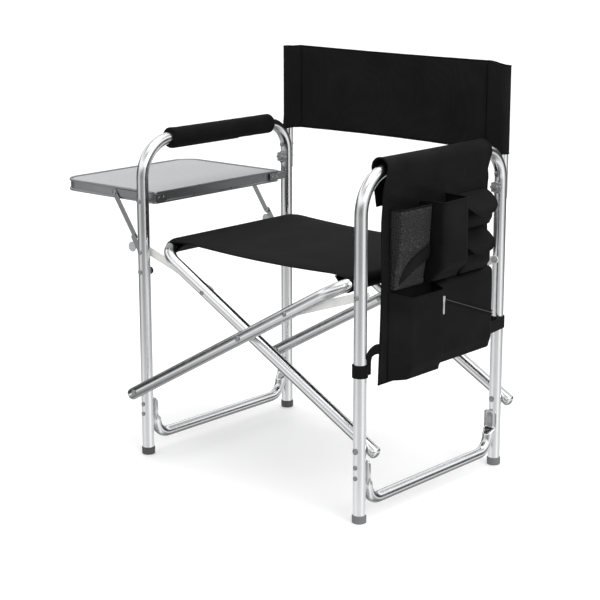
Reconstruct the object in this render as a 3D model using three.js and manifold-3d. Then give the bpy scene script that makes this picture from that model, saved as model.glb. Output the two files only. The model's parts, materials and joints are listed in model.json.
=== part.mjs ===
// Folding director chair: two inverted-U side frames, two crossed U-shaped seat frames, a fabric
// seat and backrest, a drop-leaf side table on braces and an organiser bag. Millimetres, +Z up,
// -Y is the front, +X is the side that carries the bag.
import * as THREE from 'three';
import { mergeVertices } from 'three/addons/utils/BufferGeometryUtils.js';
import Module from 'manifold-3d';

const wasm = await Module();
wasm.setup();

// Driving dimensions
const HALF_WIDTH = 297.5; // side frame plane from the centre
const HALF_DEPTH = 223; // leg centre to leg centre is twice this
const STAGGER = 27; // left side frame stands this much further back than the right one
const TUBE_R = 12.5;
const WALL = 1.3;
const ARM_Z = 664.5;
const ARM_BEND = 65;
const ARM_BEND_FRONT = 78;
const FOOT_R = 14;
const FOOT_H = 16;
const PIVOT_Z = 143; // lower pivots of the crossed frames
const CROSS_Z = 310; // height of the crossing pivots
const LEG_OVERHANG = 18; // tube past its lower pivot
const RAIL_X = 250;
const RAIL_BEND = 52;
const LINK_Z = 437;
const LINK_REACH = 139.5; // link rivet from the crossing pivot
const STRUT_Z = 395;
const TABLE_PIVOT_Z = 543;
const PAD_R = 21;
const POST_R = 9.5;
const POST_OFF = 8; // the post nests this far behind the leg's centre line
const POST_BOTTOM = 560;
const POST_TOP = 823;
const RIVET_Z = 612;
const KNOB_Z = 585;
const BORE_R = 3.5;
const PIN_R = 2.8;
const GAP = 0.4;

const L = -HALF_WIDTH;
const R = HALF_WIDTH;
const LF = -HALF_DEPTH + STAGGER / 2; // left front leg, y
const LR = HALF_DEPTH + STAGGER / 2;
const RF = -HALF_DEPTH - STAGGER / 2;
const RR = HALF_DEPTH - STAGGER / 2;
const SLOPE = Math.atan2(CROSS_Z - PIVOT_Z, HALF_WIDTH);
const RAIL_Z = CROSS_Z + RAIL_X * Math.tan(SLOPE);

const v = (x, y, z) => new THREE.Vector3(x, y, z);
const ALU = { color: 0xc9cbcd, roughness: 0.22, metalness: 1 };
const STEEL = { color: 0xb9bcbf, roughness: 0.3, metalness: 1 };
const FABRIC = { color: 0x161618, roughness: 0.9, metalness: 0 };
const FOAM = { color: 0x131314, roughness: 0.95, metalness: 0 };
const GREY_PLASTIC = { color: 0x55575a, roughness: 0.55, metalness: 0 };
const BLACK_PLASTIC = { color: 0x1a1a1b, roughness: 0.5, metalness: 0 };
const WHITE_PLASTIC = { color: 0xe6e6e4, roughness: 0.5, metalness: 0 };
const LAMINATE = { color: 0xc2c4c6, roughness: 0.45, metalness: 0 };

const chair = new THREE.Group();
chair.name = 'director_chair';

// Geometry helpers
function outward(geometry) {
  const g = geometry.clone();
  g.deleteAttribute('normal');
  g.deleteAttribute('uv');
  const merged = mergeVertices(g, 1e-4);
  const p = merged.attributes.position;
  const index = Array.from(merged.index.array);
  const kept = [];
  let volume = 0;
  const a = v();
  const b = v();
  const c = v();
  for (let i = 0; i < index.length; i += 3) {
    const [i0, i1, i2] = [index[i], index[i + 1], index[i + 2]];
    if (i0 === i1 || i1 === i2 || i0 === i2) continue;
    kept.push(i0, i1, i2);
    a.fromBufferAttribute(p, i0);
    b.fromBufferAttribute(p, i1);
    c.fromBufferAttribute(p, i2);
    volume += a.dot(b.cross(c));
  }
  if (volume < 0) {
    for (let i = 0; i < kept.length; i += 3) {
      [kept[i + 1], kept[i + 2]] = [kept[i + 2], kept[i + 1]];
    }
  }
  merged.setIndex(kept);
  return merged;
}

function solid(geometry) {
  const g = outward(geometry);
  return new wasm.Manifold(new wasm.Mesh({
    numProp: 3,
    vertProperties: new Float32Array(g.attributes.position.array),
    triVerts: new Uint32Array(g.index.array),
  }));
}

function toGeometry(manifold) {
  const m = manifold.getMesh();
  const g = new THREE.BufferGeometry();
  g.setAttribute('position', new THREE.BufferAttribute(new Float32Array(m.vertProperties), 3));
  g.setIndex(Array.from(m.triVerts));
  g.computeVertexNormals();
  return g;
}

function part(name, geometry, look, parent = chair) {
  const shape = geometry instanceof THREE.BufferGeometry ? outward(geometry) : toGeometry(geometry);
  shape.computeVertexNormals();
  const mesh = new THREE.Mesh(shape, new THREE.MeshStandardMaterial(look));
  mesh.name = name;
  parent.add(mesh);
  return mesh;
}

function ring(radius, sides, turn = 0) {
  const points = [];
  for (let i = 0; i < sides; i += 1) {
    const t = turn + (i / sides) * Math.PI * 2;
    points.push(new THREE.Vector2(Math.cos(t) * radius, Math.sin(t) * radius));
  }
  return points;
}

// A curve that passes exactly through its stations, so bends get steps and straights none.
class StationCurve extends THREE.Curve {
  constructor(stations) {
    super();
    this.stations = stations;
  }

  getPoint(t, target = v()) {
    const n = this.stations.length - 1;
    const f = Math.min(Math.max(t, 0), 1) * n;
    const i = Math.min(Math.floor(f), n - 1);
    return target.copy(this.stations[i]).lerp(this.stations[i + 1], f - i);
  }

  getPointAt(u, target) {
    return this.getPoint(u, target);
  }

  getTangentAt(u, target = v()) {
    const n = this.stations.length - 1;
    const i = Math.round(Math.min(Math.max(u, 0), 1) * n);
    const before = this.stations[Math.max(i - 1, 0)];
    const here = this.stations[i];
    const after = this.stations[Math.min(i + 1, n)];
    const along = v();
    if (i > 0) along.add(here.clone().sub(before).normalize());
    if (i < n) along.add(after.clone().sub(here).normalize());
    return target.copy(along.normalize());
  }
}

// Stations of a path with rounded corners: [point, radius] for each corner.
function rounded(corners, stepAngle = Math.PI / 10) {
  const out = [corners[0][0].clone()];
  for (let i = 1; i < corners.length - 1; i += 1) {
    const [p, radius] = corners[i];
    const d0 = p.clone().sub(corners[i - 1][0]).normalize();
    const d1 = corners[i + 1][0].clone().sub(p).normalize();
    const turn = d0.angleTo(d1);
    const cut = radius * Math.tan(turn / 2);
    const start = p.clone().addScaledVector(d0, -cut);
    const side = d1.clone().addScaledVector(d0, -d0.dot(d1)).normalize();
    const steps = Math.max(2, Math.round(turn / stepAngle));
    for (let s = 0; s <= steps; s += 1) {
      const t = (turn * s) / steps;
      out.push(start.clone()
        .addScaledVector(d0, radius * Math.sin(t))
        .addScaledVector(side, radius * (1 - Math.cos(t))));
    }
  }
  out.push(corners[corners.length - 1][0].clone());
  return out;
}

function tube(stations, radius, inner, sides = 16, innerSides = 6) {
  const shape = new THREE.Shape(ring(radius, sides));
  if (inner) shape.holes.push(new THREE.Path(ring(inner, innerSides, Math.PI / sides)));
  return new THREE.ExtrudeGeometry(shape, {
    steps: stations.length - 1,
    extrudePath: new StationCurve(stations),
    bevelEnabled: false,
  });
}

// A turned pin on the Y axis from steps of [y start, y end, radius].
function turned(steps, sides = 8) {
  const profile = [new THREE.Vector2(0, steps[0][0])];
  for (const [y0, y1, radius] of steps) {
    profile.push(new THREE.Vector2(radius, y0), new THREE.Vector2(radius, y1));
  }
  profile.push(new THREE.Vector2(0, steps[steps.length - 1][1]));
  return new THREE.LatheGeometry(profile, sides);
}

function boreY(x, z, y0, y1, radius = BORE_R) {
  return solid(turned([[y0, y1, radius]], 6).translate(x, 0, z));
}

function block(x0, x1, y0, y1, z0, z1) {
  const g = new THREE.BoxGeometry(x1 - x0, y1 - y0, z1 - z0);
  return g.translate((x0 + x1) / 2, (y0 + y1) / 2, (z0 + z1) / 2);
}

// Extrude an outline drawn in X and Z, from y0 to y1.
function slabXZ(shape, y0, y1, curveSegments = 6) {
  const g = new THREE.ExtrudeGeometry(shape, { depth: y1 - y0, bevelEnabled: false, curveSegments });
  g.rotateX(Math.PI / 2);
  return g.translate(0, y1, 0);
}

// Flat bar with round ends between two points of the X-Z plane.
function barXZ(ax, az, bx, bz, halfWidth, y0, y1) {
  const t = Math.atan2(bz - az, bx - ax);
  const shape = new THREE.Shape();
  shape.absarc(bx, bz, halfWidth, t - Math.PI / 2, t + Math.PI / 2, false);
  shape.absarc(ax, az, halfWidth, t + Math.PI / 2, t + Math.PI * 1.5, false);
  return solid(slabXZ(shape, y0, y1));
}

// Side frames, one bent tube each
function sideTube(name, x, front, rear, frontBores, rearBores) {
  const low = 3.4;
  const stations = rounded([
    [v(x, front, low)],
    [v(x, front, ARM_Z), ARM_BEND_FRONT],
    [v(x, rear, ARM_Z), ARM_BEND],
    [v(x, rear, low)],
  ]);
  const groove = (radius) => solid(tube([
    v(x, rear + POST_OFF, POST_BOTTOM - 4),
    v(x, rear + POST_OFF, ARM_Z + 30),
  ], radius, 0));
  const bore = solid(tube(stations.map((p) => v(p.x, p.y, p.z === low ? low - 2 : p.z)),
    TUBE_R - WALL, 0, 8));
  let body = solid(tube(stations, TUBE_R, 0)).subtract(groove(POST_R + 0.5));
  body = body.subtract(bore.subtract(groove(POST_R + 0.5 + WALL)));
  for (const z of frontBores) body = body.subtract(boreY(x, z, front - 20, front + 20));
  for (const z of rearBores) body = body.subtract(boreY(x, z, rear - 20, rear + 20));
  part(name, body, ALU);
}
const RIVETS = [90, 111];
sideTube('left_side_tube', L, LF, LR,
  [TABLE_PIVOT_Z, LINK_Z, STRUT_Z, PIVOT_Z, ...RIVETS],
  [TABLE_PIVOT_Z, LINK_Z, STRUT_Z, PIVOT_Z, RIVET_Z, KNOB_Z, ...RIVETS]);
sideTube('right_side_tube', R, RF, RR,
  [LINK_Z, PIVOT_Z, ...RIVETS],
  [LINK_Z, PIVOT_Z, RIVET_Z, KNOB_Z, ...RIVETS]);

// Foot caps, moulded cups over the tube ends
function foot(name, x, y) {
  const r = FOOT_R;
  const profile = [[0, 0], [r - 1.5, 0], [r, 1.5], [r, FOOT_H], [12.9, FOOT_H], [12.9, 3], [0, 3]];
  const g = new THREE.LatheGeometry(profile.map(([a, b]) => new THREE.Vector2(a, b)), 16);
  const mesh = part(name, g.rotateX(Math.PI / 2), GREY_PLASTIC);
  mesh.position.set(x, y, 0);
}
foot('left_front_foot', L, LF);
foot('left_rear_foot', L, LR);
foot('right_front_foot', R, RF);
foot('right_rear_foot', R, RR);

// Lower stretchers: a bent tube whose flattened ends are riveted between the legs
function loft(rings) {
  const n = rings[0].length;
  const position = [];
  const index = [];
  for (const r of rings) for (const p of r) position.push(p.x, p.y, p.z);
  const m = rings.length;
  for (let i = 0; i < m; i += 1) {
    for (let j = 0; j < n; j += 1) {
      const a = i * n + j;
      const b = i * n + ((j + 1) % n);
      const c = ((i + 1) % m) * n + ((j + 1) % n);
      const d = ((i + 1) % m) * n + j;
      index.push(a, b, c, a, c, d);
    }
  }
  const g = new THREE.BufferGeometry();
  g.setAttribute('position', new THREE.Float32BufferAttribute(position, 3));
  g.setIndex(index);
  return g;
}

function stretcher(name, x, front, rear) {
  const r = 11;
  const flat = 2.7;
  const y0 = front + TUBE_R + GAP;
  const y1 = rear - TUBE_R - GAP;
  const bend = 34;
  const base = 36;
  const half = [
    { y: flat, z: 120, a: flat, b: 15.2, t: 0 },
    { y: flat, z: 82, a: flat, b: 15.2, t: 0 },
    { y: r, z: base + bend, a: r, b: r, t: 0 },
  ];
  for (let s = 1; s <= 4; s += 1) {
    const t = (s / 4) * (Math.PI / 2);
    half.push({ y: r + bend * (1 - Math.cos(t)), z: base + bend * (1 - Math.sin(t)), a: r, b: r, t });
  }
  const stations = half.map((h) => ({ ...h, y: y0 + h.y }));
  for (const h of [...half].reverse()) stations.push({ ...h, y: y1 - h.y, t: Math.PI - h.t });
  const ringAt = (s, inset, sides) => {
    const points = [];
    for (let j = 0; j < sides; j += 1) {
      const w = (j / sides) * Math.PI * 2;
      const u = Math.cos(w) * (s.a - inset);
      const side = Math.sin(w) * (s.b - inset);
      points.push(v(x + side, s.y + u * Math.cos(s.t), s.z + u * Math.sin(s.t)));
    }
    return points;
  };
  const outer = stations.map((s) => ringAt(s, 0, 12));
  const inner = stations.map((s) => ringAt(s, WALL, 12)).reverse();
  let body = solid(loft([...outer, ...inner]));
  for (const z of RIVETS) {
    body = body.subtract(boreY(x, z, y0 - 5, y0 + 12));
    body = body.subtract(boreY(x, z, y1 - 12, y1 + 5));
  }
  part(name, body, ALU);
}
stretcher('left_lower_stretcher', L, LF, LR);
stretcher('right_lower_stretcher', R, RF, RR);

// Two rivets on one backing strip, from the leg's outer face to the flattened tube end
function rivetPair(name, x, legY, inward) {
  const headY = legY - inward * (TUBE_R + 0.3);
  const backY = legY + inward * (TUBE_R + GAP + 5.4 + 0.4);
  let body = null;
  for (const z of RIVETS) {
    const steps = inward > 0
      ? [[headY - 1.8, headY, 4.6], [headY, backY + 0.4, 2.4]]
      : [[backY - 0.4, headY, 2.4], [headY, headY + 1.8, 4.6]];
    const rivet = solid(turned(steps, 8).translate(x, 0, z));
    body = body ? body.add(rivet) : rivet;
  }
  const y = [backY, backY + inward * 1.2].sort((a, b) => a - b);
  body = body.add(solid(block(x - 6, x + 6, y[0], y[1], RIVETS[0] - 8, RIVETS[1] + 8)));
  part(name, body, STEEL);
}
rivetPair('left_front_stretcher_rivets', L, LF, 1);
rivetPair('left_rear_stretcher_rivets', L, LR, -1);
rivetPair('right_front_stretcher_rivets', R, RF, 1);
rivetPair('right_rear_stretcher_rivets', R, RR, -1);

// Crossed frames: a U-shaped tube each, from a lower pivot up over a seat rail and down again
function crossTube(name, side, front, rear) {
  const along = v(side * Math.cos(SLOPE), 0, Math.sin(SLOPE));
  const pivot = v(-side * HALF_WIDTH, 0, PIVOT_Z);
  const end = pivot.clone().addScaledVector(along, -LEG_OVERHANG);
  const at = (p, y) => v(p.x, y, p.z);
  const corner = v(side * RAIL_X, 0, RAIL_Z);
  const stations = rounded([
    [at(end, front)],
    [at(corner, front), RAIL_BEND],
    [at(corner, rear), RAIL_BEND],
    [at(end, rear)],
  ]);
  let body = solid(tube(stations, TUBE_R, TUBE_R - WALL));
  for (const y of [front, rear]) {
    const dome = new THREE.LatheGeometry([
      new THREE.Vector2(0, -4),
      new THREE.Vector2(TUBE_R - 0.05, -4),
      new THREE.Vector2(TUBE_R - 0.05, 0),
      new THREE.Vector2(TUBE_R * 0.85, 4),
      new THREE.Vector2(TUBE_R * 0.5, 6.6),
      new THREE.Vector2(0, 7.4),
    ], 16);
    dome.applyQuaternion(new THREE.Quaternion()
      .setFromUnitVectors(v(0, 1, 0), along.clone().negate()));
    body = body.add(solid(dome.translate(end.x, y, end.z)));
    body = body.subtract(boreY(pivot.x, pivot.z, y - 20, y + 20));
    body = body.subtract(boreY(0, CROSS_Z, y - 20, y + 20));
  }
  part(name, body, ALU);
}
crossTube('right_seat_frame_tube', 1, RF, RR);
crossTube('left_seat_frame_tube', -1, LF, LR);

// Pivot pins with a spacer washer between the two tubes
function tubePivot(name, x, z, y0) {
  const y1 = y0 + STAGGER;
  const mid = (y0 + y1) / 2;
  const f = y0 - TUBE_R - 0.3;
  const b = y1 + TUBE_R + 0.3;
  const mesh = part(name, turned([
    [f - 2, f - 1.2, 3.6],
    [f - 1.2, f, 6],
    [f, mid - 0.6, PIN_R],
    [mid - 0.6, mid + 0.6, 8],
    [mid + 0.6, b, PIN_R],
    [b, b + 1.8, 5.5],
  ]), STEEL);
  mesh.position.set(x, 0, z);
}
tubePivot('left_front_lower_pivot', L, PIVOT_Z, RF);
tubePivot('left_rear_lower_pivot', L, PIVOT_Z, RR);
tubePivot('right_front_lower_pivot', R, PIVOT_Z, RF);
tubePivot('right_rear_lower_pivot', R, PIVOT_Z, RR);
tubePivot('front_crossing_pivot', 0, CROSS_Z, RF);
tubePivot('rear_crossing_pivot', 0, CROSS_Z, RR);

// Link bars between each leg and the crossed tube in its own plane
const LINK_T = 2.5;
function linkBar(name, side, face, inward) {
  const rx = side * LINK_REACH * Math.cos(SLOPE);
  const rz = CROSS_Z + LINK_REACH * Math.sin(SLOPE);
  const y = [face + inward * 0.3, face + inward * (0.3 + LINK_T)].sort((a, b) => a - b);
  let body = barXZ(side * HALF_WIDTH, LINK_Z, rx, rz, 8.5, y[0], y[1]);
  body = body.subtract(boreY(side * HALF_WIDTH, LINK_Z, y[0] - 3, y[1] + 3));
  const b = [inward > 0 ? y[1] - 0.5 : y[0] - 1.4, inward > 0 ? y[1] + 1.4 : y[0] + 0.5];
  body = body.add(solid(turned([[b[0], b[1], 5]], 10).translate(rx, 0, rz)));
  part(name, body, WHITE_PLASTIC);
}
linkBar('left_front_link_bar', -1, LF + TUBE_R, 1);
linkBar('left_rear_link_bar', -1, LR - TUBE_R, -1);
linkBar('right_front_link_bar', 1, RF + TUBE_R, 1);
linkBar('right_rear_link_bar', 1, RR - TUBE_R, -1);

// A bolt through one leg: head on the outer face, nut beyond what it holds on the inner face
function legBolt(name, x, legY, z, inward, held, nutR, nutT, look = STEEL) {
  const s = inward;
  const head = legY - s * (TUBE_R + 0.3);
  const nut = legY + s * (TUBE_R + held + 0.6);
  const steps = [
    [head - s * 2, head, 5.2],
    [head, nut, PIN_R],
    [nut, nut + s * nutT, nutR],
  ].map(([a, b, r]) => [Math.min(a, b), Math.max(a, b), r]);
  if (s < 0) steps.reverse();
  const mesh = part(name, turned(steps), look);
  mesh.position.set(x, 0, z);
}
legBolt('left_front_link_bolt', L, LF, LINK_Z, 1, LINK_T, 6, 4);
legBolt('left_rear_link_bolt', L, LR, LINK_Z, -1, LINK_T, 6, 4);
legBolt('right_front_link_bolt', R, RF, LINK_Z, 1, LINK_T, 6, 4);
legBolt('right_rear_link_bolt', R, RR, LINK_Z, -1, LINK_T, 6, 4);
legBolt('front_brace_leg_bolt', L, LF, STRUT_Z, 1, 2, 8, 5.6, BLACK_PLASTIC);
legBolt('rear_brace_leg_bolt', L, LR, STRUT_Z, -1, 2, 8, 5.6, BLACK_PLASTIC);

// Foam arm pads around the arm tubes
function armPad(name, x, front, rear) {
  const stations = [v(x, front + 79.5, ARM_Z), v(x, rear - ARM_BEND + 4, ARM_Z)];
  part(name, tube(stations, PAD_R, TUBE_R + 0.9, 16, 16), FOAM);
}
armPad('left_arm_pad', L, LF, LR);
armPad('right_arm_pad', R, RF, RR);

// Backrest posts nest in a pressed groove behind the rear legs, held by a rivet and a star knob
function backPost(name, x, legY) {
  const y = legY + POST_OFF;
  let body = solid(tube([v(x, y, POST_BOTTOM), v(x, y, POST_TOP)], POST_R, POST_R - WALL, 16, 6));
  body = body.subtract(boreY(x, RIVET_Z, y - 15, y + 15));
  body = body.subtract(boreY(x, KNOB_Z, y - 15, y + 15));
  part(name, body, ALU);
}
backPost('left_back_post', L, LR);
backPost('right_back_post', R, RR);

function postRivet(name, x, legY) {
  const f = legY - TUBE_R - 3.3; // the tube already starts to bend forward here
  const b = legY + POST_OFF + POST_R + 0.3;
  const mesh = part(name, turned([[f - 1.6, f, 5], [f, b, PIN_R], [b, b + 1.4, 5]]), STEEL);
  mesh.position.set(x, 0, RIVET_Z);
}
postRivet('left_post_rivet', L, LR);
postRivet('right_post_rivet', R, RR);

function starKnob(name, x, legY) {
  const f = legY - TUBE_R - 0.5;
  const b = legY + POST_OFF + POST_R + 0.3;
  const lobes = 8;
  const outline = [];
  for (let i = 0; i < lobes * 4; i += 1) {
    const t = (i / (lobes * 4)) * Math.PI * 2;
    const r = 11.6 + 1.3 * Math.cos(lobes * t);
    outline.push(new THREE.Vector2(Math.cos(t) * r, Math.sin(t) * r));
  }
  let body = solid(slabXZ(new THREE.Shape(outline), f - 7, f));
  body = body.add(solid(turned([[f - 9, f - 1, 6.5]], 10)));
  body = body.add(solid(turned([[f - 1, b, PIN_R], [b, b + 2.4, 4.6]], 8)));
  const mesh = part(name, body, STEEL);
  mesh.position.set(x, 0, KNOB_Z);
}
starKnob('left_star_knob', L, LR);
starKnob('right_star_knob', R, RR);

// Backrest: a sewn loop over each post and a panel stretched between the loops' seams
const BACK_Z0 = 649;
const BACK_Z1 = 834;
const LOOP = 45; // seam from the post
function plan(points, z0, z1) {
  const shape = new THREE.Shape(points.map(([x, y]) => new THREE.Vector2(x, -y)));
  const g = new THREE.ExtrudeGeometry(shape, { depth: z1 - z0, bevelEnabled: false });
  g.scale(1, -1, 1);
  return solid(g.translate(0, 0, z0));
}
function loopPlan(x, y, side, radius, reach, tip) {
  const points = [];
  for (let i = 0; i <= 8; i += 1) {
    const t = (Math.PI * i) / 8;
    points.push([x - side * Math.sin(t) * radius, y - Math.cos(t) * radius]);
  }
  points.push([x + side * reach, y + tip], [x + side * reach, y - tip]);
  return points;
}
{
  const y0 = LR + POST_OFF;
  const y1 = RR + POST_OFF;
  let body = plan([[L + LOOP - 2, y0 - 1.1], [R - LOOP + 2, y1 - 1.1], [R - LOOP + 2, y1 + 1.1],
    [L + LOOP - 2, y0 + 1.1]], BACK_Z0, BACK_Z1);
  for (const [x, y, side] of [[L, y0, 1], [R, y1, -1]]) {
    body = body.add(plan(loopPlan(x, y, side, POST_R + 2, LOOP, 1.3), BACK_Z0, POST_TOP + 5));
    const room = plan(loopPlan(x, y, side, POST_R + 0.5, LOOP - 8, 0.3), BACK_Z0 - 5, POST_TOP + 2);
    body = body.subtract(room);
  }
  part('backrest_fabric', body, FABRIC);
}

// Seat: a sleeve around each rail, running a little way into the bends, and the sling between
{
  const inner = TUBE_R + 0.6;
  const outer = TUBE_R + 2.6;
  const wrap = Math.PI / 6;
  const rail = (side, front, rear, more) => {
    const turn = (t) => [RAIL_BEND * Math.sin(t), RAIL_BEND * (1 - Math.cos(t))];
    const stations = [];
    const place = (y, drop) => v(side * (RAIL_X - drop * Math.cos(SLOPE)), y,
      RAIL_Z - drop * Math.sin(SLOPE));
    for (const t of [wrap + more, Math.PI / 10, 0]) {
      const [along, drop] = turn(t);
      stations.push(place(front + RAIL_BEND - along, drop));
    }
    for (const t of [0, Math.PI / 10, wrap + more]) {
      const [along, drop] = turn(t);
      stations.push(place(rear - RAIL_BEND + along, drop));
    }
    return stations;
  };
  const reach = RAIL_BEND - RAIL_BEND * Math.sin(wrap) + 1;
  const y = (side, end) => (side < 0 ? [LF, LR] : [RF, RR])[end] + (end ? -reach : reach);
  let body = plan([[-RAIL_X + 8, y(-1, 0)], [RAIL_X - 8, y(1, 0)], [RAIL_X - 8, y(1, 1)],
    [-RAIL_X + 8, y(-1, 1)]], RAIL_Z + inner, RAIL_Z + outer);
  body = body.add(plan([[-RAIL_X, LF + RAIL_BEND], [RAIL_X, RF + RAIL_BEND],
    [RAIL_X, RR - RAIL_BEND], [-RAIL_X, LR - RAIL_BEND]], RAIL_Z + inner, RAIL_Z + outer));
  for (const [side, front, rear] of [[-1, LF, LR], [1, RF, RR]]) {
    body = body.add(solid(tube(rail(side, front, rear, 0), outer, 0, 16)));
  }
  for (const [side, front, rear] of [[-1, LF, LR], [1, RF, RR]]) {
    body = body.subtract(solid(tube(rail(side, front, rear, 0.15), inner + 0.1, 0, 16)));
  }
  part('seat_fabric', body, FABRIC);
}

// Side table: rim, laminate top, two hinge brackets, pivots
const TX0 = -574;
const TX1 = -286;
const TY0 = -186;
const TY1 = 199;
const TZ0 = 534;
const TZ1 = 559;
const BRACE_X = -402;
const BRACE_Z = 546;
function tablePlan(inset) {
  const big = 42 - inset;
  const small = Math.max(8 - inset, 2);
  const x0 = TX0 + inset;
  const x1 = TX1 - inset;
  const y0 = TY0 + inset;
  const y1 = TY1 - inset;
  const s = new THREE.Shape();
  s.absarc(x1 - small, y0 + small, small, -Math.PI / 2, 0, false);
  s.absarc(x1 - small, y1 - small, small, 0, Math.PI / 2, false);
  s.absarc(x0 + big, y1 - big, big, Math.PI / 2, Math.PI, false);
  s.absarc(x0 + big, y0 + big, big, Math.PI, Math.PI * 1.5, false);
  return s;
}
function tableSlab(inset, z0, z1) {
  const g = new THREE.ExtrudeGeometry(tablePlan(inset), {
    depth: z1 - z0,
    bevelEnabled: false,
    curveSegments: 5,
  });
  return solid(g.translate(0, 0, z0));
}
{
  let rim = tableSlab(1.6, TZ0, TZ1);
  rim = rim.add(tableSlab(0, TZ0, TZ0 + 4));
  rim = rim.add(tableSlab(0, TZ1 - 4, TZ1));
  rim = rim.subtract(tableSlab(4.5, TZ0 - 2, TZ1 + 2));
  rim = rim.subtract(boreY(L, TABLE_PIVOT_Z, TY0 - 3, TY0 + 8));
  part('table_rim', rim, ALU);
  part('table_top', tableSlab(4.9, TZ1 - 9.5, TZ1 - 1), LAMINATE);
}
const PLATE = 2;
function braceStud(y0, steps) {
  const placed = steps.map(([a, b, r]) => [y0 + a, y0 + b, r]);
  return solid(turned(placed).translate(BRACE_X, 0, BRACE_Z));
}
const FRONT_BAR = LF + TUBE_R; // back face of the front leg
const REAR_BAR = LR - TUBE_R; // front face of the rear leg
{
  const y = TY0 - 0.3;
  const z = [TZ0 + 4.5, TZ1 - 4.5];
  let front = solid(block(BRACE_X - 9, TX1 + 2.3, y - PLATE, y, z[0], z[1]));
  front = front.add(solid(block(TX1 + 0.3, TX1 + 2.3, y - PLATE, TY0 + 32, z[0], z[1])));
  front = front.subtract(boreY(L, TABLE_PIVOT_Z, y - 5, y + 5));
  const bar = FRONT_BAR + 5.3;
  front = front.add(braceStud(0, [
    [bar - 2, bar - 0.4, 5],
    [bar - 0.4, bar + 2.1, PIN_R],
    [bar + 2.1, y - 1, 5],
  ]));
  part('table_front_bracket', front, STEEL);
}
{
  const y = TY1 + 0.3;
  const z = [TZ0 + 4.5, TZ1 - 4.5];
  const lug = 214;
  let rear = solid(block(BRACE_X - 9, TX1 + 2.3, y, y + PLATE, z[0], z[1]));
  rear = rear.add(solid(block(TX1 + 0.3, TX1 + 2.3, TY1 - 32, lug, z[0], z[1] - 2)));
  rear = rear.add(solid(block(L - 10, TX1 + 2.3, lug - PLATE, lug, z[0], z[1] - 2)));
  rear = rear.subtract(boreY(L, TABLE_PIVOT_Z, lug - 5, lug + 5));
  const bar = REAR_BAR - 7.1;
  rear = rear.add(braceStud(0, [
    [y + 1, bar - 0.4, 5],
    [bar - 0.4, bar + 2.2, PIN_R],
    [bar + 2.2, bar + 3.6, 5],
  ]));
  part('table_rear_bracket', rear, STEEL);
}
{
  const f = LF - TUBE_R - 0.3;
  const mesh = part('table_front_pivot', turned([
    [f - 2, f, 5.2],
    [f, TY0 + 4.9, PIN_R],
    [TY0 + 4.9, TY0 + 7.4, 4.6],
  ]), STEEL);
  mesh.position.set(L, 0, TABLE_PIVOT_Z);
  const b = LR + TUBE_R + 0.3;
  const rear = part('table_rear_pivot', turned([
    [209.6, 211.6, 5.4],
    [211.6, 214.4, PIN_R],
    [214.4, REAR_BAR - 0.4, 7],
    [REAR_BAR - 0.4, b, PIN_R],
    [b, b + 1.8, 5.4],
  ]), STEEL);
  rear.position.set(L, 0, TABLE_PIVOT_Z);
}

// Folding table braces: an upper bar on the table, a lower bar with a thumb tab on the leg
const UPPER = 105;
const BRACE_DIR = v(L - BRACE_X, 0, STRUT_Z - BRACE_Z).normalize();
const KNEE = v(BRACE_X, 0, BRACE_Z).addScaledVector(BRACE_DIR, UPPER);
function brace(where, face, s) {
  const span = (a, b) => [face + s * a, face + s * b].sort((p, q) => p - q);
  const low = span(0.3, 2.3);
  let lower = barXZ(L, STRUT_Z, KNEE.x, KNEE.z, 6.5, low[0], low[1]);
  const tab = turned([[low[0], low[1], 10.5]], 14).translate(KNEE.x - 5, 0, KNEE.z - 21);
  lower = lower.add(solid(tab));
  lower = lower.subtract(boreY(L, STRUT_Z, low[0] - 2, low[1] + 2));
  const boss = span(2, 5);
  lower = lower.add(solid(turned([[boss[0], boss[1], 4.2]], 8).translate(KNEE.x, 0, KNEE.z)));
  part(`${where}_brace_lower_bar`, lower, STEEL);
  const up = span(5.3, 7.1);
  let upper = barXZ(BRACE_X, BRACE_Z, KNEE.x, KNEE.z, 6, up[0], up[1]);
  upper = upper.subtract(boreY(BRACE_X, BRACE_Z, up[0] - 2, up[1] + 2));
  const head = span(7, 8.2);
  upper = upper.add(solid(turned([[head[0], head[1], 4.2]], 8).translate(KNEE.x, 0, KNEE.z)));
  part(`${where}_brace_upper_bar`, upper, STEEL);
}
brace('front', FRONT_BAR, 1);
brace('rear', REAR_BAR, -1);

// Organiser bag: a sheet folded over the right arm pad, straps round the legs, sewn pockets
const BAG_IN = PAD_R + 0.6;
const BAG_OUT = BAG_IN + 2.2;
const BAG_Y0 = -211;
const BAG_Y1 = 141;
const BAG_Z0 = 267;
const STRAP_Z = [287, 312];
{
  const s = new THREE.Shape();
  s.moveTo(R + BAG_OUT, BAG_Z0);
  s.lineTo(R + BAG_OUT, ARM_Z);
  s.absarc(R, ARM_Z, BAG_OUT, 0, Math.PI, false);
  s.lineTo(R - BAG_IN, ARM_Z);
  s.absarc(R, ARM_Z, BAG_IN, Math.PI, 0, true);
  s.lineTo(R + BAG_IN, BAG_Z0);
  let body = solid(slabXZ(s, BAG_Y0, BAG_Y1, 8));
  body = body.add(solid(block(R - BAG_OUT, R - BAG_IN, -168, 112, 592, ARM_Z + 2)));
  for (const [y, edge, s1] of [[RF, BAG_Y0, 1], [RR, BAG_Y1, -1]]) {
    const loop = tube([v(R, y, STRAP_Z[0]), v(R, y, STRAP_Z[1])], 15.2, 0, 16);
    const band = slabStrap(y + s1 * 3, edge + s1 * 4);
    const hole = tube([v(R, y, STRAP_Z[0] - 5), v(R, y, STRAP_Z[1] + 5)], 13.2, 0, 16);
    body = body.add(solid(loop)).add(band).subtract(solid(hole));
  }
  part('bag_panel', body, FABRIC);
}
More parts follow.
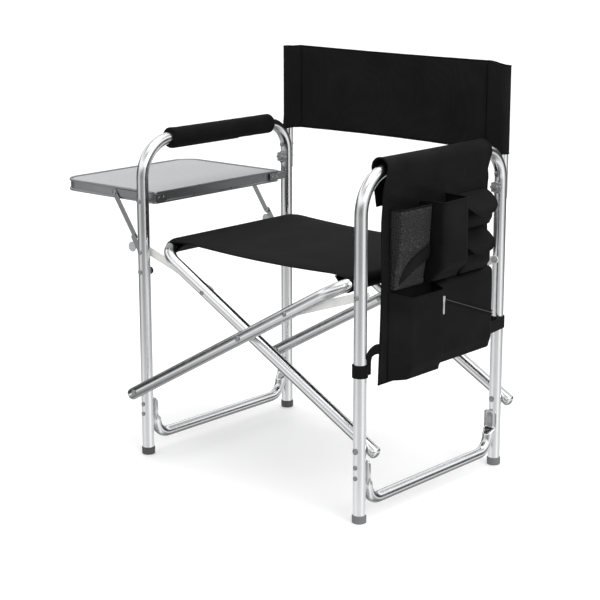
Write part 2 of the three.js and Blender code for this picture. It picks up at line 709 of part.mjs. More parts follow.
function slabStrap(yLeg, yBag) {
  const x0 = R + 13.4;
  const x1 = R + BAG_IN;
  const s = new THREE.Shape([
    new THREE.Vector2(x0, -yLeg),
    new THREE.Vector2(x0 + 1.8, -yLeg),
    new THREE.Vector2(x1 + 1.8, -yBag),
    new THREE.Vector2(x1, -yBag),
  ]);
  const g = new THREE.ExtrudeGeometry(s, { depth: STRAP_Z[1] - STRAP_Z[0], bevelEnabled: false });
  g.scale(1, -1, 1);
  return solid(g.translate(0, 0, STRAP_Z[0]));
}
// An open-topped pocket; a shoulder leans its mouth back under a flap
function pocket(name, depth, y0, y1, z0, z1, shoulder = 0) {
  const wall = 1.6;
  const x0 = R + BAG_OUT + 0.4;
  const x1 = x0 + depth;
  let body = solid(block(x0, x1, y0, y1, z0, z1));
  const space = block(x0 + wall, x1 - wall, y0 + wall, y1 - wall, z0 + wall, z1 + 9);
  body = body.subtract(solid(space));
  if (shoulder) {
    const lean = new THREE.Shape([
      new THREE.Vector2(x0 + 1, z1 - 2),
      new THREE.Vector2(x1 + 1, z1 - shoulder),
      new THREE.Vector2(x1 + 1, z1 + 10),
      new THREE.Vector2(x0 + 1, z1 + 10),
    ]);
    body = body.subtract(solid(slabXZ(lean, y0 - 1, y1 + 1)));
  }
  part(name, body, FABRIC);
}
pocket('bag_bottle_pouch', 57, -88, -9, 449, 601);
pocket('bag_mesh_pocket', 30, -180, -89, 446, 596);
pocket('bag_tall_pocket', 36, -186, -50, 271, 440);
pocket('bag_zip_pocket', 13, -49, 139, 276, 438);
pocket('bag_upper_pocket', 22, 26, 122, 530, 592, 40);
pocket('bag_lower_pocket', 22, 22, 116, 444, 516, 40);

// Pocket flaps hinge on the seam at their upper edge; the zip puller slides along its zip
function flap(name, y0, y1, z1, shoulder) {
  const x0 = R + BAG_OUT + 0.4;
  const x1 = x0 + 38;
  const s = new THREE.Shape([
    new THREE.Vector2(x0, z1 + 3),
    new THREE.Vector2(x0, z1 + 5),
    new THREE.Vector2(x1 + 4.4, z1 - shoulder + 2),
    new THREE.Vector2(x1 + 4.4, z1 - shoulder - 9),
    new THREE.Vector2(x1 + 2.6, z1 - shoulder - 9),
    new THREE.Vector2(x1 + 2.6, z1 - shoulder + 1),
  ]);
  part(name, slabXZ(s, y0, y1), FABRIC);
}
flap('bag_upper_flap', 24, 124, 592, 30);
flap('bag_lower_flap', 20, 118, 516, 28);
{
  const x0 = R + BAG_OUT + 0.4 + 13 + 0.4;
  let body = solid(block(x0, x0 + 2.6, -5, 5, -6, 6));
  body = body.add(solid(block(x0 + 1, x0 + 2.6, -3, 3, -30, -4)));
  part('bag_zip_puller', body, STEEL).position.set(0, -30, 402);
}

// The origin is on the ground under the middle of the whole outline, table open
const box = new THREE.Box3().setFromObject(chair);
chair.position.set(
  -Math.round((box.min.x + box.max.x) * 5) / 10,
  -Math.round((box.min.y + box.max.y) * 5) / 10,
  0,
);

export default chair;
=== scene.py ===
import json
import math

import bmesh
import bpy
import numpy as np
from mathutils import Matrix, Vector


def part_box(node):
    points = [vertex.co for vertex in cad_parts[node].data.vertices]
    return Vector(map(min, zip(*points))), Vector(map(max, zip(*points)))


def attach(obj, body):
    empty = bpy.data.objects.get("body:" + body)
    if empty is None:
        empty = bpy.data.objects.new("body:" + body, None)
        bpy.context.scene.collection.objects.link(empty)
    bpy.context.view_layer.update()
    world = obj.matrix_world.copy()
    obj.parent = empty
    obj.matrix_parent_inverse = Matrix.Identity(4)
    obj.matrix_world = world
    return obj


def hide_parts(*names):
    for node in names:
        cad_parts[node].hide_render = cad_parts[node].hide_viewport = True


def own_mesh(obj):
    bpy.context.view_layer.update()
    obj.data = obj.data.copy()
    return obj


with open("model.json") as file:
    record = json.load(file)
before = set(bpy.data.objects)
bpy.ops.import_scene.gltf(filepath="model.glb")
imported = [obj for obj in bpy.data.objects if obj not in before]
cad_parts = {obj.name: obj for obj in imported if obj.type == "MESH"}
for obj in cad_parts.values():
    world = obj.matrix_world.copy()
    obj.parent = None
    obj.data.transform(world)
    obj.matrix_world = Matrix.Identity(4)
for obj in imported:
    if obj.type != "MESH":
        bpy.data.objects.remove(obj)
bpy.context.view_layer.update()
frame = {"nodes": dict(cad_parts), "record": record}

# The chair's own frame in millimetres: x and y are measured from the middle of the four legs.
HALF_WIDTH, HALF_DEPTH = 297.5, 223  # from the middle to the leg centres
STAGGER = 27  # the left side frame stands this much further back than the right one
L, R = -HALF_WIDTH, HALF_WIDTH
LF, LR = STAGGER / 2 - HALF_DEPTH, STAGGER / 2 + HALF_DEPTH
RF, RR = -STAGGER / 2 - HALF_DEPTH, -STAGGER / 2 + HALF_DEPTH
foot = [(a + b) * 500 for a, b in zip(*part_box("left_front_foot"))]
ORIGIN = np.array([foot[0] - L, foot[1] - LF, 0.0])
TUBE_R = 12.5
ARM_Z = 664.5
PIVOT_Z, CROSS_Z, LINK_Z, STRUT_Z, TABLE_Z = 143, 310, 437, 395, 543
RAIL_X, RAIL_BEND = 250, 52
ARM_BEND_FRONT, ARM_BEND = 78, 65
LEG_OVERHANG = 18  # the crossed tubes run on past their lower pivots
LINK_REACH = 139.5  # from the crossing pivot to a link bar's rivet
GAP = 0.4
RIVETS = (90, 111)  # heights of the two rivets at each end of a stretcher
KNOB_Z, POST_RIVET_Z = 585, 612
POST_R, POST_BOTTOM, POST_TOP = 9.5, 560, 823
PIN_R = 2.8
SLOPE = math.atan2(CROSS_Z - PIVOT_Z, HALF_WIDTH)
RAIL_Z = CROSS_Z + RAIL_X * math.tan(SLOPE)
POST_Y = 8


def row(p):
    """A point of the chair's frame, in the row frame, in metres."""
    return (np.asarray(p, float) + ORIGIN) / 1000


# ---------------------------------------------------------------- materials
def shader(name, color, metallic=0.0, roughness=0.5):
    m = bpy.data.materials.new(name)
    m["look"] = name
    m.use_nodes = True
    b = m.node_tree.nodes["Principled BSDF"]
    b.inputs["Base Color"].default_value = (*color, 1)
    b.inputs["Metallic"].default_value = metallic
    b.inputs["Roughness"].default_value = roughness
    return m, m.node_tree, b


def add(tree, kind, **values):
    n = tree.nodes.new(kind)
    for key, value in values.items():
        if key in n.inputs:
            n.inputs[key].default_value = value
        else:
            setattr(n, key, value)
    return n


def position(tree, scale=(1, 1, 1)):
    """Texture coordinates in metres of the row frame, stretched by scale."""
    coords = add(tree, "ShaderNodeTexCoord")
    mapping = add(tree, "ShaderNodeMapping")
    mapping.inputs["Scale"].default_value = scale
    tree.links.new(coords.outputs["Object"], mapping.inputs["Vector"])
    return mapping.outputs["Vector"]


def ramp(tree, source, stops):
    n = add(tree, "ShaderNodeValToRGB")
    while len(n.color_ramp.elements) < len(stops):
        n.color_ramp.elements.new(0.5)
    for e, (at, c) in zip(n.color_ramp.elements, stops):
        e.position = at
        e.color = (*c, 1) if len(c) == 3 else (c[0], c[0], c[0], 1)
    tree.links.new(source, n.inputs["Fac"])
    return n.outputs["Color"]


def bump(tree, b, height, strength, distance):
    n = add(tree, "ShaderNodeBump", Strength=strength, Distance=distance)
    tree.links.new(height, n.inputs["Height"])
    tree.links.new(n.outputs["Normal"], b.inputs["Normal"])


def noise(tree, scale, stretch=(1, 1, 1), detail=3.0):
    n = add(tree, "ShaderNodeTexNoise", Scale=scale, Detail=detail)
    tree.links.new(position(tree, stretch), n.inputs["Vector"])
    return n.outputs["Fac"]


def metal(name, color, low, high, scale=60, stretch=(1, 1, 0.15)):
    m, tree, b = shader(name, color, 1.0, low)
    grain = noise(tree, scale, stretch)
    rough = ramp(tree, grain, [(0.3, (low,)), (0.7, (high,))])
    tree.links.new(rough, b.inputs["Roughness"])
    tint = ramp(tree, noise(tree, 9), [(0.3, [c * 0.93 for c in color]), (0.7, color)])
    tree.links.new(tint, b.inputs["Base Color"])
    bump(tree, b, grain, 0.05, 0.0004)
    return m


def woven(name, dark, light, pitch=0.0016, roughness=0.86, strength=0.5, sheen=0.006):
    """Plain weave: two crossed sets of ribs, whichever way the cloth faces."""
    m, tree, b = shader(name, dark, 0.0, roughness)
    b.inputs["Sheen Weight"].default_value = sheen
    b.inputs["Sheen Roughness"].default_value = 0.5
    b.inputs["Specular IOR Level"].default_value = 0.1
    where = position(tree)
    ribs = []
    for axis in "XYZ":
        w = add(tree, "ShaderNodeTexWave", bands_direction=axis, Scale=math.tau / pitch / 20,
                Distortion=0.35)
        w.inputs["Detail"].default_value = 1.0
        tree.links.new(where, w.inputs["Vector"])
        ribs.append(w.outputs["Fac"])
    total = ribs[0]
    for other in ribs[1:]:
        s = add(tree, "ShaderNodeMath", operation="ADD")
        tree.links.new(total, s.inputs[0])
        tree.links.new(other, s.inputs[1])
        total = s.outputs[0]
    third = add(tree, "ShaderNodeMath", operation="MULTIPLY")
    third.inputs[1].default_value = 0.34
    tree.links.new(total, third.inputs[0])
    bump(tree, b, third.outputs[0], strength, 0.0005)
    mix = add(tree, "ShaderNodeMixRGB", blend_type="MULTIPLY")
    mix.inputs["Fac"].default_value = 0.55
    patch = ramp(tree, noise(tree, 14), [(0.3, dark), (0.75, light)])
    weave = ramp(tree, third.outputs[0], [(0.2, (0.55,)), (0.8, (1.0,))])
    tree.links.new(patch, mix.inputs[1])
    tree.links.new(weave, mix.inputs[2])
    tree.links.new(mix.outputs[0], b.inputs["Base Color"])
    return m


def moulded(name, color, roughness=0.5, scale=400):
    m, tree, b = shader(name, color, 0.0, roughness)
    grain = noise(tree, scale)
    tint = ramp(tree, noise(tree, 25), [(0.3, [c * 0.85 for c in color]), (0.7, color)])
    tree.links.new(tint, b.inputs["Base Color"])
    rough = ramp(tree, grain, [(0.3, (roughness - 0.07,)), (0.7, (roughness + 0.08,))])
    tree.links.new(rough, b.inputs["Roughness"])
    bump(tree, b, grain, 0.12, 0.0003)
    return m


def netting(name):
    """Coarse knitted mesh: pale threads round dark holes."""
    m, tree, b = shader(name, (0.02, 0.02, 0.02), 0.0, 0.8)
    cells = add(tree, "ShaderNodeTexVoronoi", feature="DISTANCE_TO_EDGE", Scale=200)
    cells.inputs["Randomness"].default_value = 0.7
    tree.links.new(position(tree), cells.inputs["Vector"])
    color = ramp(tree, cells.outputs["Distance"],
                 [(0.0, (0.036, 0.036, 0.038)), (0.08, (0.013, 0.013, 0.014)), (0.14, (0.001,) * 3)])
    tree.links.new(color, b.inputs["Base Color"])
    lift = ramp(tree, cells.outputs["Distance"], [(0.0, (1.0,)), (0.25, (0.0,))])
    bump(tree, b, lift, 0.7, 0.0006)
    return m


def laminate(name):
    m, tree, b = shader(name, (0.55, 0.56, 0.57), 0.0, 0.42)
    speck = noise(tree, 500, detail=1.0)
    color = ramp(tree, speck, [(0.35, (0.41, 0.42, 0.43)), (0.6, (0.50, 0.51, 0.52))])
    tree.links.new(color, b.inputs["Base Color"])
    bump(tree, b, speck, 0.08, 0.0002)
    b.inputs["Coat Weight"].default_value = 0.15
    return m


ALU = metal("polished_aluminium", (0.80, 0.805, 0.815), 0.17, 0.27)
ALU_RIM = metal("aluminium_channel", (0.42, 0.43, 0.44), 0.27, 0.4, 90, (0.3, 1, 1))
STEEL = metal("plated_steel", (0.36, 0.365, 0.37), 0.28, 0.42, 200, (1, 1, 1))
CLOTH = woven("black_woven_cloth", (0.0075, 0.0075, 0.0079), (0.0115, 0.0115, 0.012))
BAG = woven("black_bag_cloth", (0.0040, 0.0040, 0.0044), (0.0085, 0.0085, 0.009), 0.0012, 0.7)
BINDING = woven("black_binding_tape", (0.0035, 0.0035, 0.004), (0.0065, 0.0065, 0.007), 0.0009, 0.65)
FOAM = woven("black_foam_sleeve", (0.0045, 0.0045, 0.005), (0.008, 0.008, 0.0085), 0.0022, 0.85, 0.8, 0.008)
NET = netting("black_netting")
GREY = moulded("dark_grey_plastic", (0.075, 0.078, 0.082))
MID_GREY = moulded("mid_grey_plastic", (0.17, 0.175, 0.18))
PALE_GREY = moulded("pale_grey_plastic", (0.42, 0.43, 0.44), 0.45)
BLACK = moulded("black_plastic", (0.014, 0.014, 0.015), 0.4)
WHITE = moulded("white_plastic", (0.74, 0.74, 0.72), 0.42)
TOP = laminate("pale_grey_laminate")


# ---------------------------------------------------------------- mesh helpers
def piece(name, verts, faces, material, body, stands_for=(), smooth=40, bevel=0, thick=0,
          subdivide=0, close=True):
    """A mesh from points in the chair's frame, riding on a body. bevel and thick are in mm."""
    mesh = bpy.data.meshes.new(name)
    mesh.from_pydata([tuple(p) for p in row(verts)], [], [list(map(int, f)) for f in faces])
    bm = bmesh.new()
    bm.from_mesh(mesh)
    bmesh.ops.remove_doubles(bm, verts=bm.verts, dist=1e-6)
    if close:
        bmesh.ops.recalc_face_normals(bm, faces=bm.faces)
    bm.to_mesh(mesh)
    bm.free()
    mesh.shade_smooth()
    if smooth:
        mesh.set_sharp_from_angle(angle=math.radians(smooth))
    obj = bpy.data.objects.new(name, mesh)
    bpy.context.scene.collection.objects.link(obj)
    mesh.materials.append(material)
    if subdivide:
        s = obj.modifiers.new("smooth", "SUBSURF")
        s.levels = s.render_levels = subdivide
    if thick:
        s = obj.modifiers.new("thickness", "SOLIDIFY")
        s.thickness = thick / 1000
        s.offset = 0
    if bevel:
        s = obj.modifiers.new("edges", "BEVEL")
        s.width = bevel / 1000
        s.segments = 2
        s.limit_method = "ANGLE"
        s.angle_limit = math.radians(35)
    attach(obj, body)
    if stands_for:
        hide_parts(*([stands_for] if isinstance(stands_for, str) else stands_for))
    return obj


def merge(*shapes):
    """Several (verts, faces) as one."""
    verts, faces, n = [], [], 0
    for v, f in shapes:
        verts.append(np.asarray(v, float))
        faces += [[i + n for i in face] for face in f]
        n += len(v)
    return np.vstack(verts), faces


def bent(corners, step=5):
    """Points of a path whose corners are rounded: corners are (point, radius)."""
    out = [np.array(corners[0][0], float)]
    for i in range(1, len(corners) - 1):
        p, radius = np.array(corners[i][0], float), corners[i][1]
        d0 = p - np.array(corners[i - 1][0], float)
        d1 = np.array(corners[i + 1][0], float) - p
        d0, d1 = d0 / np.linalg.norm(d0), d1 / np.linalg.norm(d1)
        turn = math.acos(np.clip(d0 @ d1, -1, 1))
        start = p - d0 * radius * math.tan(turn / 2)
        side = d1 - d0 * (d0 @ d1)
        side /= np.linalg.norm(side)
        n = max(3, round(math.degrees(turn) / step))
        for k in range(n + 1):
            t = turn * k / n
            out.append(start + d0 * radius * math.sin(t) + side * radius * (1 - math.cos(t)))
    out.append(np.array(corners[-1][0], float))
    return np.array(out)


def frames(path):
    """A tangent and two cross directions at each point, turning as little as they can."""
    path = np.asarray(path, float)
    last = len(path) - 1
    tangents = [path[min(i + 1, last)] - path[max(i - 1, 0)] for i in range(last + 1)]
    tangents = [t / np.linalg.norm(t) for t in tangents]
    up = np.array([0, 0, 1.0]) if abs(tangents[0][2]) < 0.9 else np.array([1.0, 0, 0])
    u = np.cross(tangents[0], up)
    u /= np.linalg.norm(u)
    out = []
    for t in tangents:
        u = u - t * (u @ t)
        u /= np.linalg.norm(u)
        out.append((t, u, np.cross(t, u)))
    return out


def sweep(path, radius, sides=28, caps=True):
    """A tube along a path. radius is a number or one per point."""
    radii = np.broadcast_to(radius, (len(path),))
    verts, faces = [], []
    for p, r, (_, u, w) in zip(path, radii, frames(path)):
        for k in range(sides):
            a = math.tau * k / sides
            verts.append(p + u * math.cos(a) * r + w * math.sin(a) * r)
    rings = len(path)
    for i in range(rings - 1):
        for k in range(sides):
            a, b = i * sides + k, i * sides + (k + 1) % sides
            faces.append([a, b, b + sides, a + sides])
    if caps:
        faces.append(list(range(sides))[::-1])
        faces.append([(rings - 1) * sides + k for k in range(sides)])
    return np.array(verts), faces


def turned(steps, centre, axis="Y", sides=28):
    """A lathe from (along, radius) points, about an axis through centre."""
    verts, faces = [], []
    for along, r in steps:
        for k in range(sides):
            a = math.tau * k / sides
            c, s = math.cos(a) * max(r, 0.01), math.sin(a) * max(r, 0.01)
            p = {"Y": (c, along, s), "Z": (c, s, along), "X": (along, c, s)}[axis]
            verts.append(np.array(p) + centre)
    for i in range(len(steps) - 1):
        for k in range(sides):
            a, b = i * sides + k, i * sides + (k + 1) % sides
            faces.append([a, b, b + sides, a + sides])
    faces.append(list(range(sides))[::-1])
    faces.append([(len(steps) - 1) * sides + k for k in range(sides)])
    return np.array(verts), faces


def domed(y0, y1, r, s):
    """Lathe steps of a rivet or bolt head from its seat y0 to its top y1, facing s."""
    h = abs(y1 - y0)
    return [(y0, r), (y0 + s * h * 0.45, r * 0.97), (y0 + s * h * 0.8, r * 0.72), (y1, r * 0.2)]


def prism(outline, t0, t1, plane="XZ"):
    """An outline pushed out along the third axis."""
    n = len(outline)
    verts = []
    for t in (t0, t1):
        for a, b in outline:
            verts.append({"XZ": (a, t, b), "XY": (a, b, t), "YZ": (t, a, b)}[plane])
    faces = [list(range(n))[::-1], [n + i for i in range(n)]]
    faces += [[i, (i + 1) % n, n + (i + 1) % n, n + i] for i in range(n)]
    return np.array(verts, float), faces


def stadium(a, b, half, n=12):
    t = math.atan2(b[1] - a[1], b[0] - a[0])
    out = []
    for (cx, cz), base in ((b, t - math.pi / 2), (a, t + math.pi / 2)):
        for k in range(n + 1):
            w = base + math.pi * k / n
            out.append((cx + half * math.cos(w), cz + half * math.sin(w)))
    return out


def grid(fn, nu, nv):
    """A sheet fn(u, v) over the unit square."""
    verts = [fn(i / nu, j / nv) for i in range(nu + 1) for j in range(nv + 1)]
    faces = []
    for i in range(nu):
        for j in range(nv):
            a = i * (nv + 1) + j
            faces.append([a, a + nv + 1, a + nv + 2, a + 1])
    return np.array(verts, float), faces


def along(points):
    """(sampler over 0..1, length) of a polyline."""
    points = np.asarray(points, float)
    steps = np.linalg.norm(np.diff(points, axis=0), axis=1)
    at = np.concatenate([[0], np.cumsum(steps)])

    def sample(t):
        return np.array([np.interp(t * at[-1], at, points[:, k]) for k in range(points.shape[1])])
    return sample, at[-1]


def smoothstep(t):
    t = min(max(t, 0.0), 1.0)
    return t * t * (3 - 2 * t)


# ---------------------------------------------------------------- tubes
def side_tube(name, node, body, x, front, rear):
    path = bent([((x, front, 3.4), 0), ((x, front, ARM_Z), ARM_BEND_FRONT),
                 ((x, rear, ARM_Z), ARM_BEND),
                 ((x, rear, 3.4), 0)])
    piece(name, *sweep(path, TUBE_R, 40), ALU, body, node, smooth=60)


side_tube("left_frame_tube", "left_side_tube", "left_frame", L, LF, LR)
side_tube("right_frame_tube", "right_side_tube", "right_frame", R, RF, RR)


def seat_tube(name, node, body, side, front, rear):
    a = np.array([side * math.cos(SLOPE), 0, math.sin(SLOPE)])
    end = np.array([-side * HALF_WIDTH, 0, PIVOT_Z]) - a * LEG_OVERHANG
    corner = np.array([side * RAIL_X, 0, RAIL_Z])
    path = bent([(end + [0, front, 0], 0), (corner + [0, front, 0], RAIL_BEND),
                 (corner + [0, rear, 0], RAIL_BEND), (end + [0, rear, 0], 0)])
    dome = [(7.2, 1.5), (6.4, 6.0), (4.6, 9.6), (2.2, 11.8), (0.2, 12.45)]
    head = [end + [0, front, 0] - a * d for d, _ in dome]
    tail = [end + [0, rear, 0] - a * d for d, _ in reversed(dome)]
    radii = [r for _, r in dome] + [TUBE_R] * len(path) + [r for _, r in reversed(dome)]
    piece(name, *sweep(np.vstack([head, path, tail]), radii, 40), ALU, body, node, smooth=60)


seat_tube("right_rail_tube", "right_seat_frame_tube", "right_seat_frame", 1, RF, RR)
seat_tube("left_rail_tube", "left_seat_frame_tube", "left_seat_frame", -1, LF, LR)


def stretcher(name, node, body, x, front, rear):
    r, flat, bend, base = 11, 2.7, 34, 36
    y0, y1 = front + TUBE_R + GAP, rear - TUBE_R - GAP
    half = [(flat, 120.0, flat * 0.6, 9, 0), (flat, 119.0, flat, 12.5, 0), (flat, 116, flat, 15, 0),
            (flat, 88, flat, 15.2, 0)]
    for k in range(1, 9):
        s = smoothstep(k / 8)
        half.append((flat + (r - flat) * s, 88 - 18 * k / 8, flat + (r - flat) * s,
                     15.2 + (r - 15.2) * s, 0))
    for k in range(1, 15):
        t = k / 14 * math.pi / 2
        half.append((r + bend * (1 - math.cos(t)), base + bend * (1 - math.sin(t)), r, r, t))
    stations = [(y0 + y, z, a, b, t) for y, z, a, b, t in half]
    stations += [(y1 - y, z, a, b, math.pi - t) for y, z, a, b, t in reversed(half)]
    sides, verts, faces = 32, [], []
    for y, z, a, b, t in stations:
        for k in range(sides):
            w = math.tau * k / sides
            u = math.cos(w) * a
            verts.append((x + math.sin(w) * b, y + u * math.cos(t), z + u * math.sin(t)))
    for i in range(len(stations) - 1):
        for k in range(sides):
            p, q = i * sides + k, i * sides + (k + 1) % sides
            faces.append([p, q, q + sides, p + sides])
    faces += [list(range(sides))[::-1], [(len(stations) - 1) * sides + k for k in range(sides)]]
    piece(name, verts, faces, ALU, body, node, smooth=60)


stretcher("left_stretcher_tube", "left_lower_stretcher", "left_frame", L, LF, LR)
stretcher("right_stretcher_tube", "right_lower_stretcher", "right_frame", R, RF, RR)

FOOT = [(0, 11.2), (0.4, 12.6), (1.6, 13.7), (3.2, 14), (4.6, 13.7), (5.2, 13.7), (6.2, 14),
        (13.8, 14), (15.3, 13.7), (16, 13.1), (16, 12.4)]
for side, x, front, rear, body, look in (("left", L, LF, LR, "left_frame", GREY),
                                         ("right", R, RF, RR, "right_frame", MID_GREY)):
    for end, y in (("front", front), ("rear", rear)):
        node = f"{side}_{end}_foot"
        piece(node + "_cap", *turned(FOOT, (x, y, 0), "Z", 40), look, body, node, smooth=50)


# ---------------------------------------------------------------- hardware
def pin(name, node, body, x, z, parts, look=STEEL):
    """Rivets and bolts: each part is a list of (y, radius) steps."""
    piece(name, *merge(*[turned(p, (x, 0, z)) for p in parts]), look, body, node, smooth=35)


for side, x, front, rear in (("left", L, LF, LR), ("right", R, RF, RR)):
    body = f"{side}_frame"
    for end, y, s in (("front", front, 1), ("rear", rear, -1)):
        head, back = y - s * 12.8, y + s * 18.7
        shapes = []
        for z in RIVETS:
            shapes.append(turned(domed(head, head - s * 1.9, 4.6, -s), (x, 0, z)))
            shapes.append(turned([(head, 2.4), (back, 2.4)], (x, 0, z)))
            shapes.append(turned(domed(back + s * 1.2, back + s * 2.6, 3.6, s), (x, 0, z)))
        strip = stadium((x, RIVETS[0]), (x, RIVETS[1]), 6.5)
        shapes.append(prism(strip, back, back + s * 1.2))
        node = f"{side}_{end}_stretcher_rivets"
        piece(node + "_turned", *merge(*shapes), STEEL, body, node, smooth=35)
        held = 2.5
        nut = y + s * (TUBE_R + held + 0.6)
        hexagon = [(x + 6.4 * math.cos(math.tau * k / 6), LINK_Z + 6.4 * math.sin(math.tau * k / 6))
                   for k in range(6)]
        node = f"{side}_{end}_link_bolt"
        piece(node + "_turned", *merge(
            turned(domed(head, head - s * 2.1, 5.2, -s), (x, 0, LINK_Z)),
            turned([(head, PIN_R), (nut, PIN_R)], (x, 0, LINK_Z)),
            turned([(nut, 6.6), (nut + s * 0.9, 6.6)], (x, 0, LINK_Z)),
            prism(hexagon, nut + s * 0.9, nut + s * 4),
            turned([(nut + s * 4, PIN_R), (nut + s * 4.6, 2.4)], (x, 0, LINK_Z))),
            STEEL, body, node, smooth=35, bevel=0.3)

for node, body, x, z, y0 in (
        ("left_front_lower_pivot", "left_frame", L, PIVOT_Z, RF),
        ("left_rear_lower_pivot", "left_frame", L, PIVOT_Z, RR),
        ("right_front_lower_pivot", "right_frame", R, PIVOT_Z, RF),
        ("right_rear_lower_pivot", "right_frame", R, PIVOT_Z, RR),
        ("front_crossing_pivot", "right_seat_frame", 0, CROSS_Z, RF),
        ("rear_crossing_pivot", "right_seat_frame", 0, CROSS_Z, RR)):
    y1 = y0 + STAGGER
    mid, f, b = (y0 + y1) / 2, y0 - 12.8, y1 + 12.8
    pin(node + "_turned", node, body, x, z, [
        domed(f, f - 2.2, 6, -1), [(f, PIN_R), (b, PIN_R)],
        [(mid - 0.95, 7.6), (mid - 0.7, 8.6), (mid + 0.7, 8.6), (mid + 0.95, 7.6)],
        domed(b, b + 1.9, 5.5, 1)])

for end, y, s in (("front", LF, 1), ("rear", LR, -1)):
    head, nut = y - s * 12.8, y + s * 15.1
    node = f"{end}_brace_leg_bolt"
    pin(node + "_knob", node, "left_frame", L, STRUT_Z, [
        [(nut, 7.9), (nut + s * 1.5, 8), (nut + s * 3.6, 7.2), (nut + s * 5.0, 5.2),
         (nut + s * 5.6, 1.5)]], BLACK)
    pin(node + "_shank", node, "left_frame", L, STRUT_Z,
        [domed(head, head - s * 2.1, 5.2, -s), [(head, PIN_R), (nut, PIN_R)]])

for side, x, y in (("left", L, LR), ("right", R, RR)):
    body = f"{side}_frame"
    f, b = y - 15.8, y + POST_Y + 9.8
    pin(f"{side}_post_rivet_turned", f"{side}_post_rivet", body, x, POST_RIVET_Z,
        [domed(f, f - 1.8, 5, -1), [(f, PIN_R), (b, PIN_R)], domed(b, b + 1.5, 5, 1)])
    f = y - 13
    lobes = [(x + (11.7 + 1.2 * math.cos(8 * t)) * math.cos(t),
              KNOB_Z + (11.7 + 1.2 * math.cos(8 * t)) * math.sin(t))
             for t in (math.tau * k / 96 for k in range(96))]
    piece(f"{side}_star_knob_cast", *merge(
        prism(lobes, f - 7, f),
        turned([(f - 9, 3.5), (f - 8.6, 5.6), (f - 7, 6.5), (f - 6, 6.5)], (x, 0, KNOB_Z)),
        turned([(f, PIN_R), (b, PIN_R)], (x, 0, KNOB_Z)), turned(domed(b, b + 2.4, 4.6, 1), (x, 0, KNOB_Z))),
        STEEL, f"{side}_knob", f"{side}_star_knob", smooth=35, bevel=0.8)
    # the post, with its lower end dressed to the leg
    path = [(x, y + POST_Y, z) for z in (
        POST_BOTTOM, POST_BOTTOM + 0.8, POST_BOTTOM + 2, POST_TOP - 3, POST_TOP - 1, POST_TOP)]
    piece(f"{side}_back_post_tube", *sweep(path, [8.6, 9.2, POST_R, POST_R, 9.2, 8.4], 36), ALU, body,
          f"{side}_back_post", smooth=60)


# ---------------------------------------------------------------- link bars
for side, x, front, rear in ((-1, L, LF, LR), (1, R, RF, RR)):
    name = "left" if side < 0 else "right"
    rivet = (side * LINK_REACH * math.cos(SLOPE), CROSS_Z + LINK_REACH * math.sin(SLOPE))
    for end, face, s in (("front", front + TUBE_R, 1), ("rear", rear - TUBE_R, -1)):
        node = f"{name}_{end}_link_bar"
        y0, y1 = face + s * 0.3, face + s * 2.8
        shapes = [prism(stadium((x, LINK_Z), rivet, 8.5, 16), y0, y1)]
        rib = stadium((x + (rivet[0] - x) * 0.12, LINK_Z + (rivet[1] - LINK_Z) * 0.12),
                      (x + (rivet[0] - x) * 0.9, LINK_Z + (rivet[1] - LINK_Z) * 0.9), 4.2)
        shapes.append(prism(rib, y1 - s * 0.2, y1 + s * 0.7))
        piece(node + "_moulded", *merge(*shapes), WHITE, f"{name}_{end}_link", node, bevel=0.5)
        piece(node + "_rivet", *turned(domed(y1, y1 + s * 1.5, 5, s), (rivet[0], 0, rivet[1])),
              STEEL, f"{name}_{end}_link", smooth=35)
        # rivet head on the outer side of the crossed tube, moving with that tube
        tube = "left_seat_frame" if side < 0 else "right_seat_frame"
        outer = (face - s * TUBE_R) - s * 12.6
        piece(f"{name}_{end}_rail_rivet", *turned(domed(outer, outer - s * 1.8, 4.8, -s),
              (rivet[0], 0, rivet[1])), STEEL, tube, smooth=35)


# ---------------------------------------------------------------- side table
TX0, TX1, TY0, TY1, TZ0, TZ1 = -574, -286, -186, 199, 534, 559
BRACE = (-402, 546)


def table_outline(inset, steps=14):
    big, small = 42 - inset, max(8 - inset, 2)
    x0, x1, y0, y1 = TX0 + inset, TX1 - inset, TY0 + inset, TY1 - inset
    out = []
    for cx, cy, r, a0 in ((x1 - small, y0 + small, small, -90), (x1 - small, y1 - small, small, 0),
                          (x0 + big, y1 - big, big, 90), (x0 + big, y0 + big, big, 180)):
        for k in range(steps + 1):
            a = math.radians(a0 + 90 * k / steps)
            out.append((cx + r * math.cos(a), cy + r * math.sin(a)))
    return out


# (inset, z) of the rim's section: two lips with a channel between, then the inner face
SECTION = [(0.7, TZ0), (0.0, TZ0 + 0.8), (0.0, TZ0 + 3.6), (0.5, TZ0 + 4.3), (2.6, TZ0 + 5.0),
           (2.6, TZ1 - 5.0), (0.5, TZ1 - 4.3), (0.0, TZ1 - 3.6), (0.0, TZ1 - 0.8), (0.7, TZ1),
           (3.6, TZ1), (4.4, TZ1 - 0.8), (4.4, TZ0 + 0.8), (3.6, TZ0)]
loops = [[(x, y, z) for x, y in table_outline(i)] for i, z in SECTION]
count, per = len(loops), len(loops[0])
faces = [[i * per + k, i * per + (k + 1) % per, ((i + 1) % count) * per + (k + 1) % per,
          ((i + 1) % count) * per + k] for i in range(count) for k in range(per)]
piece("table_rim_channel", np.array(loops).reshape(-1, 3), faces, ALU_RIM, "table", "table_rim",
      smooth=30)
piece("table_top_board", *prism(table_outline(5.5), TZ1 - 9.5, TZ1 - 2.0, "XY"), TOP, "table",
      "table_top", bevel=0.7)


def plate(points, z0, z1):
    return prism(points, z0, z1, "XY")


